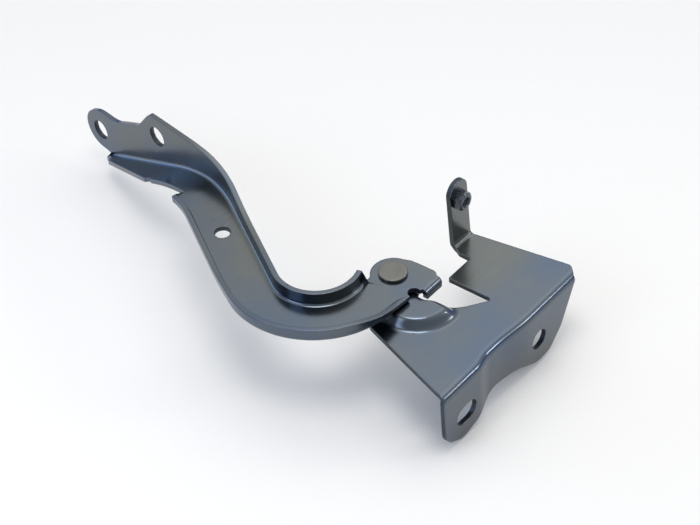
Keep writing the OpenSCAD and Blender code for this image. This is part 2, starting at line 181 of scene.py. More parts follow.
def combine(obj, others, operation):
    # exact booleans, baked; the other objects are used up
    for other in others:
        mod = obj.modifiers.new("combine", "BOOLEAN")
        mod.operation = operation
        mod.solver = "EXACT"
        mod.object = other
    bake(obj)
    for other in others:
        bpy.data.objects.remove(other)
    return obj


def punch(name, place, direction, radius, depth, edge, reach=2.0, count=72):
    # a round cutter that eases both mouths of its hole and stands out by reach
    wide = radius + edge + reach
    profile = [(depth / 2 + reach, wide), (depth / 2 - edge, radius),
               (-depth / 2 + edge, radius), (-depth / 2 - reach, wide)]
    turn = Vector(direction).to_track_quat("Z", "Y").to_matrix()
    rings = []
    for h, r in profile:
        rings.append([Vector(place) + turn @ Vector((x, y, h)) for x, y in circlePoints(0, 0, r, count)])
    return skin(name, rings, sheared={(i, j) for i in range(len(profile) - 1) for j in range(count)})


# sizes that several pieces share, in millimetres
hingeSizes = {
    "pivot": (-32.5, 72.5), "thick": 3.0, "bend": 2.0, "edge": 0.35,
    "plateTop": 22.5, "bossHeight": 5.5, "thrustWasher": 1.0, "backingWasher": 1.2,
    "tenon": 8.0, "nutX": 16.3, "nutHeight": 31.5, "tabStart": 63.5,
}
bossTop = hingeSizes["plateTop"] + hingeSizes["bossHeight"]
armTop = bossTop + hingeSizes["thrustWasher"] + hingeSizes["thick"]
rivetSeat = bossTop - hingeSizes["thick"] - hingeSizes["backingWasher"]
nutPlace = (hingeSizes["nutX"], hingeSizes["tabStart"] + hingeSizes["bend"],
            hingeSizes["plateTop"] + hingeSizes["nutHeight"])

# hinge arm: one sheet, swept from the nose round the gooseneck to the bonnet flange
armSizes = {
    **hingeSizes, "top": armTop,
    # gooseneck, straight channel, and the turn and fall to the bonnet; spans are stretches of the path
    "neckCentre": (-24.0, 32.0), "neckRadius": 22.0, "neckEnd": 291.0, "neckWidth": 27.8,
    "direction": 59.4, "straight": 70.0, "width": 30.0, "widthSpan": (-30, 25),
    "turnRadius": 90.0, "turnAngle": 22.8, "fallStart": 92.0, "fallRadius": 90.0, "fallAngle": 23.3,
    # lip: its heights, its round end, and its section, which grows from a least size as the lip rises
    "lipHeight": 3.0, "lipNeckHeight": 5.5, "lipSpan": (-25, 25), "lipRise": (2, 22),
    "lipStop": 101.0, "lipRound": 4.0, "lipBlunt": 1.05,
    "lipWall": (0.8, 0.02), "lipFillet": (0.3, 0.7, 0.5), "lipFilletRise": (0.8, 1.2), "lipFilletFrom": 358.0,
    "lipOuter": (0.4, 3.2, 0.5), "lipRim": (0.9, 0.1),
    # sloped web past the lip: a shallow nick before the rear hole, then a taper to the tip
    "tailWidth": 20.4, "nickIn": (14, 10.5), "nickOut": (10, 7), "taperLead": 6.5,
    "tipPlace": 198.5, "tipWidth": 8.8, "tipRound": 7.0, "tipDrop": 2.2,
    "bendFade": 12.0, "leastBend": 0.3, "leastOuter": 0.8,
    # inner flange, which grows into the bonnet flange
    "innerHeight": 8.0, "ridge": 17.0, "ridgeStart": 42.0, "ridgeLead": 28.0,
    "crestPast": 5.0, "crestFall": (1, 15), "dip": 6.9, "lobe": 13.2, "lobeRise": (21, 3),
    "lobeFlat": 2.0, "lobeUnder": 0.98, "lobeSlope": 0.1, "lobeEnd": 82.0,
    "rearHole": (147.5, 3.8), "holePitch": 64.5, "holeTilt": 1.2, "holeSize": 12.0, "holeEdge": 0.4,
    # nose: the eye's side and the corner beside the stop tab
    "eye": 12.4, "eyeFoot": (-11.2, 8.0), "eyeFrom": 138.0, "eyeTo": 12.0, "noseLead": 0.2,
    "noseReach": 14.4, "noseSide": ((-0.5, -1.5), (-0.1, -6.0), (0.1, -9.0)),
    "noseCorner": (-3.6, 4.6), "noseRound": 4.0, "noseTurn": 64.0, "kneeShare": 0.5,
    # stop tab, and how its right end is eased
    "stopPlace": 23.3, "stopLeft": -0.5, "stopWidth": 13.0, "stopDrop": 5.8, "stopSet": 1.0,
    "stopSink": 0.01, "stopNib": 0.1, "stopFillet": (0.3, 0.6), "stopLean": 0.4,
    "stopEnd": ((-1.2, 0.0), (-0.5, 0.12), (-0.15, 0.4), (0.0, 0.9)),
    # holes in the flat
    "bushHole": 12.08, "notch": 6.6, "notchGap": 4.7, "notchIn": 2.2, "flatEdge": 0.3,
    "drainHole": 8.6, "drainPlace": 51.6, "drainEdge": 0.45,
    # points on a rim, a bend and a flat stretch of each ring, and steps from ring to ring
    "rimCount": 3, "bendCount": 8, "flatCount": 3, "spareReach": 0.5, "stopSteps": 10,
    "eyeSteps": 36, "cornerSteps": 8, "neckSteps": 72, "straightSteps": 16, "turnSteps": 18,
    "lipSteps": 12, "lipPast": 0.15, "nickLead": 15.0, "tailSteps": (16, 16, 34, 14),
    "tipPast": (0.25, 1.0), "lobeSteps": (5, 16),
}


class ArmShape:
    def __init__(self, size):
        self.size = size
        self.centre = Vector(size["neckCentre"])
        self.turnEnd = size["straight"] + size["turnRadius"] * math.radians(size["turnAngle"])
        self.slope = math.tan(math.radians(size["fallAngle"]))
        self.fallEnd = size["fallStart"] + size["fallRadius"] * self.slope
        self.neckLength = size["neckRadius"] * math.radians(size["neckEnd"] - size["direction"] - 90)
        self.bonnetDir = size["direction"] + size["turnAngle"]
        self.turnCentre = (self.centre + along(size["direction"]) * size["straight"]
                           + across(size["direction"]) * (size["neckRadius"] + size["turnRadius"]))
        self.tilt = math.radians(size["fallAngle"] + size["holeTilt"])
        self.rear = size["rearHole"]
        self.front = (self.rear[0] + size["holePitch"] * math.cos(self.tilt),
                      self.rear[1] - size["holePitch"] * math.sin(self.tilt))
        self.stopRoot = -size["stopPlace"] + size["thick"]
        self.counts = size["rimCount"], size["bendCount"], size["flatCount"]
        # points that a ring without a channel has over, so that every ring has as many
        self.spare = 2 * size["rimCount"] + 2 * size["bendCount"] + size["flatCount"]

    def heading(self, s):
        size = self.size
        if s < 0:
            return size["direction"] - math.degrees(s / size["neckRadius"])
        if s < size["straight"]:
            return size["direction"]
        if s < self.turnEnd:
            return size["direction"] + math.degrees((s - size["straight"]) / size["turnRadius"])
        return self.bonnetDir

    def path(self, s):
        # the inner edge in plan: round the neck, straight, then round the turn and straight again
        size = self.size
        if s < 0:
            return self.centre + across(self.heading(s)) * size["neckRadius"]
        if s < size["straight"]:
            return (self.centre + across(size["direction"]) * size["neckRadius"]
                    + along(size["direction"]) * s)
        bent = self.turnCentre - across(self.heading(s)) * size["turnRadius"]
        return bent if s < self.turnEnd else bent + along(self.bonnetDir) * (s - self.turnEnd)

    def web(self, s):
        size = self.size
        if s < size["fallStart"]:
            return 0.0
        if s < self.fallEnd:
            return -(s - size["fallStart"]) ** 2 / (2 * size["fallRadius"])
        return -self.slope ** 2 * size["fallRadius"] / 2 - self.slope * (s - self.fallEnd)

    def steep(self, s):
        return min(max((s - self.size["fallStart"]) / self.size["fallRadius"], 0.0), self.slope)

    def lipLeft(self, s):
        # the lip's end is rounded in height and in plan
        size = self.size
        u = (s - size["lipStop"] + size["lipRound"]) / (size["lipRound"] * size["lipBlunt"])
        return 1.0 if u <= 0 else math.sqrt(max(1 - u * u, 0.0))

    def lip(self, s):
        size = self.size
        if s > size["lipStop"]:
            return 0.0
        low, high = size["lipHeight"], size["lipNeckHeight"]
        tall = low + (high - low) * (1 - ease(s, *size["lipSpan"]))
        return tall * self.lipLeft(s) * ease(s, *[d - self.neckLength for d in size["lipRise"]])

    def width(self, s):
        size = self.size
        if s > size["lipStop"]:
            return self.tail(s)
        radius, narrow = size["neckRadius"], size["neckWidth"]
        if self.heading(s) > 180:
            # past the half turn the outer edge runs straight to the nose
            return (radius + narrow) / -math.sin(math.radians(self.heading(s) + 90)) - radius
        wide = narrow + (size["width"] - narrow) * ease(s, *size["widthSpan"])
        return wide - size["lipRound"] * (1 - self.lipLeft(s))

    def tail(self, s):
        size = self.size
        rear, tip, lead = self.rear[0], size["tipPlace"], size["taperLead"]
        wide = size["tailWidth"]
        if s < rear - lead:
            return (wide - ease(s, *[rear - d for d in size["nickIn"]])
                    + ease(s, *[rear - d for d in size["nickOut"]]))
        taper = (wide - size["tipWidth"]) * (s - rear + lead) / (tip - rear + lead)
        return wide - taper - size["tipDrop"] * ease(s, tip - size["tipRound"], tip)

    def holeLine(self, s):
        return self.rear[1] - (s - self.rear[0]) * math.tan(self.tilt)

    def flange(self, s):
        # rises to a ridge at the rear hole, dips, and ends in a round lobe at the front hole
        size = self.size
        rear, front = self.rear[0], self.front[0]
        low, ridge, dip, lobe = size["innerHeight"], size["ridge"], size["dip"], size["lobe"]
        crest = rear + size["crestPast"]
        if s < crest:
            return low + (ridge - low) * ease(s, size["ridgeStart"], rear - size["ridgeLead"])
        if s < front + lobe * math.sin(self.tilt):
            fall = 1 - ease(s, crest - size["crestFall"][0], crest + size["crestFall"][1])
            rise = ease(s, front - size["lobeRise"][0], front + size["lobeRise"][1])
            return (self.holeLine(s) + dip + (ridge - self.holeLine(crest) - dip) * fall
                    + (lobe / math.cos(self.tilt) - dip) * rise)
        return self.front[1] + math.sqrt(lobe ** 2 - (s - front) ** 2)

    def flangeLow(self, s):
        size = self.size
        stop, lobe = self.front[0] + size["lobeFlat"], size["lobe"]
        if s < stop:
            return self.front[1] - lobe * size["lobeUnder"] - size["lobeSlope"] * (stop - s)
        return self.front[1] - math.sqrt(lobe ** 2 - (s - self.front[0]) ** 2)

    def row(self, p, height):
        size = self.size
        return (p[0] + size["pivot"][0], p[1] + size["pivot"][1], height + size["top"])

    def place(self, s, q):
        return self.row(self.path(s) + across(self.heading(s)) * q[0], q[1])

    def channelRing(self, s):
        size = self.size
        t, r = size["thick"], size["edge"]
        rims, bends, flats = self.counts
        # the bend tightens to almost nothing at the web's tip
        left = 1 - ease(s, size["tipPlace"] - size["bendFade"], size["tipPlace"])
        bend = size["leastBend"] + (size["bend"] - size["leastBend"]) * left
        outer = size["leastOuter"] + (size["bend"] + t - size["leastOuter"]) * left
        w, h, top, web = self.width(s), self.lip(s), self.flange(s), self.web(s)
        low = web - t * math.sqrt(1 + self.steep(s) ** 2)
        least, soon = size["lipWall"]
        foot = w - least - (t - least) * h / (h + soon)
        least, share, soon = size["lipFillet"]
        deep = least + bend * share * h / (h + soon)
        share, soon = size["lipFilletRise"]
        tall = bend * share * h / (h + soon)
        least, share, soon = size["lipOuter"]
        turn = least + share * h / (h + soon)
        share, soon = size["lipRim"]
        rim = r * h / (h + soon)
        return (arcPoints(r, top - r, r, r, 90, 180, rims)
                + arcPoints(outer, low + outer, outer, outer, 180, 270, bends)
                + between((outer, low), (w - turn, low), flats)
                + arcPoints(w - turn, low + turn, turn, turn, 270, 360, bends)
                + arcPoints(w - r, web + h - r, r, r, 0, 90, rims)
                + arcPoints(foot + r, web + h - rim, r * share, rim, 90, 180, rims)
                + arcPoints(foot - deep, web + tall, deep, tall, size["lipFilletFrom"], 270, bends)
                + between((foot - deep, web), (t + bend, web), flats)
                + arcPoints(t + bend, web + bend, bend, bend, 270, 180, bends)
                + arcPoints(t - r, top - r, r, r, 0, 90, rims))

    def barRing(self, w, top, low):
        # the left rim and the underside of a plain bar, from its top left round to its low right
        r = self.size["edge"]
        rims, bends, flats = self.counts
        return (arcPoints(r, top - r, r, r, 90, 180, rims)
                + arcPoints(r, low + r, r, r, 180, 270, bends)
                + between((r, low), (w - r, low), flats)
                + arcPoints(w - r, low + r, r, r, 270, 360, bends))

    def lobeRing(self, s):
        t, r = self.size["thick"], self.size["edge"]
        top, low = self.flange(s), self.flangeLow(s)
        # the spare points lie close together, low on the wall
        return (self.barRing(t, top, low)
                + between((t, low + r), (t, low + r + self.size["spareReach"]), self.spare)
                + arcPoints(t - r, top - r, r, r, 0, 90, self.counts[0]))

    def noseRing(self, w):
        t, r = self.size["thick"], self.size["edge"]
        return (self.barRing(w, 0, -t) + arcPoints(w - r, -r, r, r, 0, 90, self.counts[0])
                + between((w - r, 0), (r, 0), self.spare))

    def stopTab(self):
        # profile of the tab that is bent down past the boss, set into the nose a little
        size = self.size
        t, r, drop, root = size["thick"], size["edge"], size["stopDrop"], self.stopRoot
        nib, sink, inside = size["stopNib"], size["stopSink"], root + size["stopSet"]
        filletWide, filletTall = size["stopFillet"]
        profile = [(inside, -sink), (root, 0.0)]
        profile += arcPoints(root, -t, -t, t, 81, 0, size["stopSteps"])
        profile += [(root - t, -drop + r), (root - t + nib, -drop + nib), (root - t + r, -drop),
                    (root - r, -drop), (root, -drop + r), (root, -t - filletTall),
                    (root + filletWide, -t - nib), (inside, -t + sink)]
        left = size["stopLeft"]
        ends = [(left, r), (left + nib, nib), (left + r, 0.0)]
        ends += [(left + size["stopWidth"] + x, shrink) for x, shrink in size["stopEnd"]]
        rings = []
        for x, shrink in ends:
            ring = []
            for y, h in profile:
                # the tab's outer corners are eased, its root is not
                out = min(max((root - y) / t, 0.0), 1.0)
                low = min(max((-h - t) / (drop - t), 0.0), 1.0)
                ring.append(self.row((x, y + shrink * size["stopLean"] * out * out), h + shrink * low))
            rings.append(ring)
        return skin("stopTab", rings)


def noseRings(arm):
    # the nose lies between its far side round the eye and its near side with the stop tab
    size = arm.size
    start = -arm.neckLength
    lead = start - size["noseLead"]
    first = arm.path(lead) + across(arm.heading(lead)) * size["thick"]
    foot, reach = Vector(size["eyeFoot"]), size["noseReach"]
    farSide = [first, first * 0.5 + foot * 0.5, foot]
    farSide += [size["eye"] * along(g) for g in spread(size["eyeFrom"], size["eyeTo"], size["eyeSteps"])]
    farSide += [Vector((reach + x, y)) for x, y in size["noseSide"]]
    corner = Vector((reach + size["noseCorner"][0], arm.stopRoot + size["noseCorner"][1]))
    turns = spread(0, size["noseTurn"], size["cornerSteps"])
    farSide += [corner + size["noseRound"] * along(-g) for g in turns]
    nearStart = arm.path(lead) + across(arm.heading(lead)) * arm.width(start)
    nearKnee = Vector((size["stopLeft"], arm.stopRoot))
    knee = size["kneeShare"]
    last = len(farSide) - 1
    rings = []
    for i in range(last, -1, -1):
        u = i / last
        a, b = farSide[i], nearStart.lerp(nearKnee, u / knee)
        if u >= knee:
            b = nearKnee + Vector((size["stopWidth"] * (u - knee) / (1 - knee), 0))
        w = (b - a).length
        rings.append([arm.row(a + (b - a) * (n / w), h) for n, h in arm.noseRing(w)])
    return rings


def makeArm(size):
    arm = ArmShape(size)
    rings = noseRings(arm)
    # the two sides of the nose are sheared
    rims, bends, flats = arm.counts
    walls = (rims - 1, rims + bends + flats + bends - 1)
    sides = {(i, j + k) for i in range(len(rings) - 1) for j in walls for k in (0, 1)}
    # stations of the sweep, closer where the shape changes faster
    lipStop, lipRound = size["lipStop"], size["lipRound"]
    rear, tip, front = arm.rear[0], size["tipPlace"], arm.front[0]
    stations = spread(-arm.neckLength, 0, size["neckSteps"])[:-1]
    stations += spread(0, size["straight"], size["straightSteps"])[:-1]
    stations += spread(size["straight"], lipStop - lipRound, size["turnSteps"])[:-1]
    stations += [lipStop - lipRound * (1 - along(g)[1]) for g in spread(0, 90, size["lipSteps"])]
    stations += [lipStop + size["lipPast"]]
    stops = (lipStop, rear - size["nickLead"], rear - size["nickOut"][1], tip - size["tipRound"], tip)
    for a, b, steps in zip(stops, stops[1:], size["tailSteps"]):
        stations += spread(a, b, steps)[1:]
    soon, later = size["tipPast"]
    flatSteps, roundSteps = size["lobeSteps"]
    lobes = [tip + soon] + spread(tip + later, front + size["lobeFlat"], flatSteps)
    turns = spread(math.degrees(arm.tilt), size["lobeEnd"], roundSteps)
    lobes += [front + size["lobe"] * along(g)[1] for g in turns]
    rings += [[arm.place(s, q) for q in arm.channelRing(s)] for s in stations]
    rings += [[arm.place(s, q) for q in arm.lobeRing(s)] for s in lobes]
    obj = combine(skin("hingeArm", rings, sheared=sides), [arm.stopTab()], "UNION")
    t = size["thick"]
    notch = (size["stopLeft"] - size["notchGap"], size["notchIn"] + arm.stopRoot)
    drain = arm.path(size["drainPlace"]) + across(size["direction"]) * size["width"] / 2
    cutters = []
    for name, spot, wide, edge in (
            ("cutBush", (0, 0), size["bushHole"], size["flatEdge"]),
            ("cutNotch", notch, size["notch"], size["flatEdge"]),
            ("cutDrain", drain, size["drainHole"], size["drainEdge"])):
        cutters.append(punch(name, arm.row(spot, -t / 2), (0, 0, 1), wide / 2, t, edge))
    out = across(arm.bonnetDir)
    for s, h in (arm.rear, arm.front):
        cutters.append(punch("cutBonnet", arm.row(arm.path(s) + out * t / 2, h), (out[0], out[1], 0),
                             size["holeSize"] / 2, t, size["holeEdge"]))
    return finished(combine(obj, cutters, "DIFFERENCE"), "hinge arm", sheared=True)


# body bracket: a flat blank, meshed, then folded and pressed, with both faces and rolled rims
bracketSizes = {
    **hingeSizes, "fold": 1.0, "roll": (30, 60, 90),
    # bolting flange; corners are (across, along, radius) from the place that each name says
    "flangeLeft": -83.5, "flangeRight": 33.0, "flangeSide": 16.5, "lobeDrop": 16.5,
    "roundHole": (0.0, 0.0, 12.0), "slot": (-64.5, -2.0, 12.0, 16.5),
    "leftShoulder": ((2.4, 7.6, 0), (0, -2.2, 0)), "leftFoot": ((1.6, 5, 12),),
    "slotLobe": ((-3, -2, 11), (10, 1.2, 14), (25, 10.6, 12), (46, 8.6, 30)),
    "holeLobe": ((-1, 0.2, 16), (10.5, 0.4, 9), (21, 11, 8)),
    "rightShoulder": ((-0.4, -2.2, 0), (0, 1, 1), (5, 6.6, 3)),
    "stepDepth": 2.0, "stepIn": (-54, -42), "stepOut": (-36, -8), "stepFade": 7.0,
    # plate, from the pivot: the recess beside the tab, the boss's cut flank, the eye and the far corner
    "recess": ((42.4, -12, 3), (42.4, -19.4, 1.5), (22.6, -19.4, 1), (23.4, -48.4, 1.6), (9.2, -39, 14),
               (1, -30, 3), (-3, -23, 2), (-3.2, -19, 1.5), (4, -15.5, 3)),
    "eye": 13.0, "eyeFrom": -12.5, "eyeTo": 127.5, "shoulder": (-20, 1.5, 8),
    "sideLean": 19.5, "sideTop": -9.0, "sideRound": 4.0,
    # boss: a cone cut by a flank, and the eye's own cone; runs are outwards for each mm of height
    "bossCentre": (-1.5, -17.0), "bossReach": 24.6, "coneRun": 0.815, "coneSink": 1.0, "eyeReach": 5.4,
    "flankPlace": 6.0, "flankRun": 0.827, "flankSink": 2.0,
    "flankBlend": 5.0, "eyeBlend": 1.0, "crownBlend": 1.8, "footBlend": 2.0,
    # upright tab
    "tabLeft": 12.1, "tabRight": 27.5, "tabSide": 5.0, "tabRound": 3.0, "tabHeight": 43.6,
    "tabRadius": 7.6, "tabHole": 7.0,
    # net of points over the blank
    "closeNet": 0.6, "wideNet": 2.0, "bendRow": 0.5, "wideRow": 2.4, "rowShift": 0.5, "rimGap": 0.5,
    "bossRows": (45, 15), "bossNet": 30.0, "eyeNet": 22.0, "foldRows": 1.0, "tabRows": (0.6, 0.4),
    "boltCount": 56, "smallCount": 40, "arcCount": 31, "eyeCount": 29,
    "leastStep": 0.05, "probe": 0.02, "mergeGap": 1e-5,
}


def roundedOutline(corners, step=1.4, arcStep=0.8):
    # corners (x, y, radius) become a closed list of points, no further apart than step
    loop = []
    count = len(corners)
    for i, (x, y, r) in enumerate(corners):
        p, q, n = Vector(corners[i - 1][:2]), Vector((x, y)), Vector(corners[(i + 1) % count][:2])
        if r <= 0:
            loop.append(q)
            continue
        u, v = (p - q).normalized(), (n - q).normalized()
        half = math.acos(max(-1, min(1, u.dot(v)))) / 2
        mid = (u + v).normalized()
        c = q + mid * (r / math.sin(half))
        turn = 1 if u[0] * v[1] - u[1] * v[0] > 0 else -1
        begin = math.atan2(-mid[1], -mid[0]) + turn * (math.pi / 2 - half)
        sweep = math.pi - 2 * half
        k = max(2, math.ceil(r * sweep / arcStep))
        for j in range(k + 1):
            g = begin - turn * sweep * j / k
            loop.append(c + r * Vector((math.cos(g), math.sin(g))))
    out = []
    for a, b in zip(loop, loop[1:] + loop[:1]):
        k = max(1, math.ceil((b - a).length / step))
        out += [a.lerp(b, j / k) for j in range(k)]
    return out


def inwards(loop, hole):
    # unit directions from a loop into the sheet
    area = sum(a[0] * b[1] - a[1] * b[0] for a, b in zip(loop, loop[1:] + loop[:1]))
    way = 1 if (area > 0) != hole else -1
    out = []
    for before, after in zip(loop[-1:] + loop[:-1], loop[1:] + loop[:1]):
        run = (after - before).normalized()
        out.append(Vector((-run[1], run[0])) * way)
    return out


def insideLoop(p, loop):
    hit = False
    for a, b in zip(loop, loop[-1:] + loop[:-1]):
        if (a[1] > p[1]) != (b[1] > p[1]):
            if p[0] < (b[0] - a[0]) * (p[1] - a[1]) / (b[1] - a[1]) + a[0]:
                hit = not hit
    return hit


def inSheet(p, loops):
    return insideLoop(p, loops[0]) and not any(insideLoop(p, hole) for hole in loops[1:])


def softMin(a, b, k):
    # the smaller of two heights, rounded over k where they meet
    h = max(k - abs(a - b), 0) / k
    return min(a, b) - h * h * k * 0.25


def softMax(a, b, k):
    return -softMin(-a, -b, k)


class BracketShape:
    def __init__(self, size):
        self.size = size
        self.outer = size["fold"] + size["thick"]
        self.arc = self.outer * math.pi / 2
        self.tabArc = size["bend"] * math.pi / 2
        # places on the blank at which the flange and the tab have height 0
        self.drop = self.outer - self.arc - (size["plateTop"] - self.outer)
        self.tabBase = size["tabStart"] + self.tabArc - size["plateTop"] - size["bend"]

    def outline(self):
        size = self.size
        px, py = size["pivot"]
        left, right, foot = size["flangeLeft"], size["flangeRight"], self.drop - size["lobeDrop"]
        tabTop = size["plateTop"] + size["tabHeight"] - size["tabRadius"] + self.tabBase
        tabEnd = arcPoints(size["nutX"], tabTop, size["tabRadius"], size["tabRadius"], 0, 180,
                           size["arcCount"])
        eye = arcPoints(px, py, size["eye"], size["eye"], size["eyeFrom"], size["eyeTo"], size["eyeCount"])
        corners = []
        for x, y, points in (
                (left, 0, size["leftShoulder"]), (left, self.drop, ((0, size["flangeSide"], 0),)),
                (left, foot, size["leftFoot"]), (size["slot"][0], foot, size["slotLobe"]),
                (size["roundHole"][0], foot, size["holeLobe"]), (right, 0, size["rightShoulder"]),
                (size["tabRight"], size["tabStart"], ((0, 0, size["tabRound"]),)),
                (0, 0, [(a, b, 0) for a, b in tabEnd]), (size["tabLeft"], size["tabStart"], ((0, 1, 0),)),
                (px, py, size["recess"]), (0, 0, [(a, b, 0) for a, b in eye]), (px, py, (size["shoulder"],)),
                (left + size["sideLean"], py, ((0, size["sideTop"], size["sideRound"]),))):
            corners += [(x + a, y + b, r) for a, b, r in points]
        return roundedOutline(corners)

    def holes(self):
        size = self.size
        hx, hz, hd = size["roundHole"]
        sx, sz, wide, long = size["slot"]
        r, half = wide / 2, (long - wide) / 2
        slot = (arcPoints(sx + half, sz + self.drop, r, r, -90, 90, size["arcCount"])
                + arcPoints(sx - half, sz + self.drop, r, r, 90, 270, size["arcCount"]))
        nutY = size["plateTop"] + size["nutHeight"] + self.tabBase
        loops = [circlePoints(hx, hz + self.drop, hd / 2, size["boltCount"]), slot,
                 circlePoints(size["nutX"], nutY, size["tabHole"] / 2, size["smallCount"]),
                 circlePoints(*size["pivot"], size["tenon"] / 2, size["smallCount"])]
        return [[Vector(p) for p in loop] for loop in loops]

    def boss(self, x, y):
        size = self.size
        dx, dy = x - size["pivot"][0], y - size["pivot"][1]
        cx, cy = size["bossCentre"]
        cone = (size["bossReach"] - math.hypot(dx - cx, dy - cy)) / size["coneRun"] - size["coneSink"]
        flank = (size["flankPlace"] - dx) / size["flankRun"] - size["flankSink"]
        eye = (size["eye"] + size["eyeReach"] - math.hypot(dx, dy)) / size["coneRun"] - size["coneSink"]
        body = softMax(softMin(cone, flank, size["flankBlend"]), eye, size["eyeBlend"])
        return softMax(0, softMin(size["bossHeight"], body, size["crownBlend"]), size["footBlend"])

    def folded(self, x, v):
        # where a point of the blank ends up, on the outer side of the sheet
        size = self.size
        outer, plate, tab, bend = self.outer, size["plateTop"], size["tabStart"], size["bend"]
        step = size["stepDepth"] * ease(x, *size["stepIn"]) * (1 - ease(x, *size["stepOut"]))
        if x > size["tabSide"] and v > tab:
            if v < tab + self.tabArc:
                g = (v - tab) / bend
                return Vector((x, tab + bend * math.sin(g), plate + bend * (1 - math.cos(g))))
            return Vector((x, tab + bend, v - self.tabBase))
        if v >= outer:
            fade = 1 - ease(v, outer, outer + size["stepFade"])
            return Vector((x, v + step * fade, plate + self.boss(x, v)))
        if v > outer - self.arc:
            g = (outer - v) / outer
            return Vector((x, outer - outer * math.sin(g) + step, plate - outer + outer * math.cos(g)))
        return Vector((x, step, v - self.drop))

    def facing(self, x, v):
        # the outward direction of the folded sheet
        h = self.size["probe"]
        a = self.folded(x + h, v) - self.folded(x - h, v)
        b = self.folded(x, v + h) - self.folded(x, v - h)
        return a.cross(b).normalized()


def netPoints(shape, outline, loops):
    # points inside the blank: close rows over the bends, a close net over the boss, a wide net elsewhere
    size = shape.size
    px, py = size["pivot"]
    cx, cy = size["bossCentre"]
    foldLow, foldHigh = shape.outer - shape.arc - size["foldRows"], shape.outer + size["foldRows"]
    tabLow = size["tabStart"] - size["tabRows"][0]
    tabHigh = size["tabStart"] + shape.tabArc + size["tabRows"][1]
    rimPoints = [p for loop in loops for p in loop]
    tree = kdtree.KDTree(len(rimPoints))
    for k, p in enumerate(rimPoints):
        tree.insert((p[0], p[1], 0), k)
    tree.balance()
    lowX, highX = min(p[0] for p in outline), max(p[0] for p in outline)
    v, highV = min(p[1] for p in outline), max(p[1] for p in outline)
    spots = []
    row = 0
    while v < highV:
        inBoss = py - size["bossRows"][0] < v < py + size["bossRows"][1]
        x = lowX + size["rowShift"] * (row % 2)
        while x < highX:
            if tree.find((x, v, 0))[2] > size["rimGap"] and inSheet((x, v), loops):
                spots.append(Vector((x, v)))
            nearBoss = inBoss and (math.hypot(x - px - cx, v - py - cy) < size["bossNet"]
                                   or math.hypot(x - px, v - py) < size["eyeNet"])
            x += size["closeNet"] if nearBoss else size["wideNet"]
        inBend = foldLow < v < foldHigh or tabLow < v < tabHigh
        v += size["bendRow"] if inBend else size["closeNet"] if inBoss else size["wideRow"]
        row += 1
    return spots


def makeBracket(size):
    shape = BracketShape(size)
    edge, thick = size["edge"], size["thick"]
    outline = shape.outline()
    # the flat faces end short of each rim by the edge's radius
    rims = []
    for i, loop in enumerate([outline] + shape.holes()):
        loop = [p for p, q in zip(loop, loop[-1:] + loop[:-1]) if (p - q).length > size["leastStep"]]
        rims.append(list(zip(loop, inwards(loop, i > 0))))
    loops = [[p + n * edge for p, n in rim] for rim in rims]
    points, edges = [], []
    for loop in loops:
        base = len(points)
        points += loop
        edges += [(base + j, base + (j + 1) % len(loop)) for j in range(len(loop))]
    points += netPoints(shape, outline, loops)
    made = geometry.delaunay_2d_cdt(points, edges, [], 1, size["mergeGap"])
    flat, faces, came = made[0], made[2], made[3]
    bm = bmesh.new()
    tops = [bm.verts.new(shape.folded(*p) * mm) for p in flat]
    lows = [bm.verts.new((shape.folded(*p) - shape.facing(*p) * thick) * mm) for p in flat]
    for face in faces:
        if inSheet(sum((flat[j] for j in face), Vector((0, 0))) / 3, loops):
            bm.faces.new([tops[j] for j in face])
            bm.faces.new([lows[j] for j in reversed(face)])
    # each rim rolls over from the top face to the wall and on to the low face
    turns = [math.radians(g) for g in size["roll"]]
    roll = [(edge * (1 - math.sin(g)), edge * (1 - math.cos(g))) for g in turns]
    levels = roll + [(back, thick - down) for back, down in reversed(roll)]
    spotOf = {source: j for j, sources in enumerate(came) for source in sources}
    first = 0
    for rim in rims:
        columns = []
        for i, (p, n) in enumerate(rim, first):
            spot, up = shape.folded(*p), shape.facing(*p)
            into = (shape.folded(*(p + n * size["probe"])) - spot).normalized()
            wall = [bm.verts.new((spot + into * back - up * down) * mm) for back, down in levels]
            columns.append([tops[spotOf[i]]] + wall + [lows[spotOf[i]]])
        for a, b in zip(columns, columns[1:] + columns[:1]):
            for k in range(len(levels) + 1):
                face = bm.faces.new((a[k], a[k + 1], b[k + 1], b[k]))
                face.material_index = 1 if k == len(roll) else 0
        first += len(rim)
    bmesh.ops.delete(bm, geom=[w for w in bm.verts if not w.link_faces], context="VERTS")
    bmesh.ops.recalc_face_normals(bm, faces=bm.faces)
    return finished(meshObject("bodyBracket", bm), "body bracket", sheared=True)


# pivot rivet: flat head with an eased rim, shoulder, tenon and peened end
rivetSizes = {
    **hingeSizes, "armTop": armTop, "bossTop": bossTop, "seat": rivetSeat,
    "head": 16.0, "headHeight": 1.8, "rim": 0.5, "underRim": 0.2, "shoulder": 10.0,
    "peen": 11.6, "peenHeight": 2.2, "peenRound": 1.5, "peenSag": 0.05,
    "dishEdge": 2.2, "dish": (0.02, -0.04, -0.06), "hair": 0.02, "weld": 0.05,
    "peenCount": 8, "rimCount": 6, "count": 96,
}


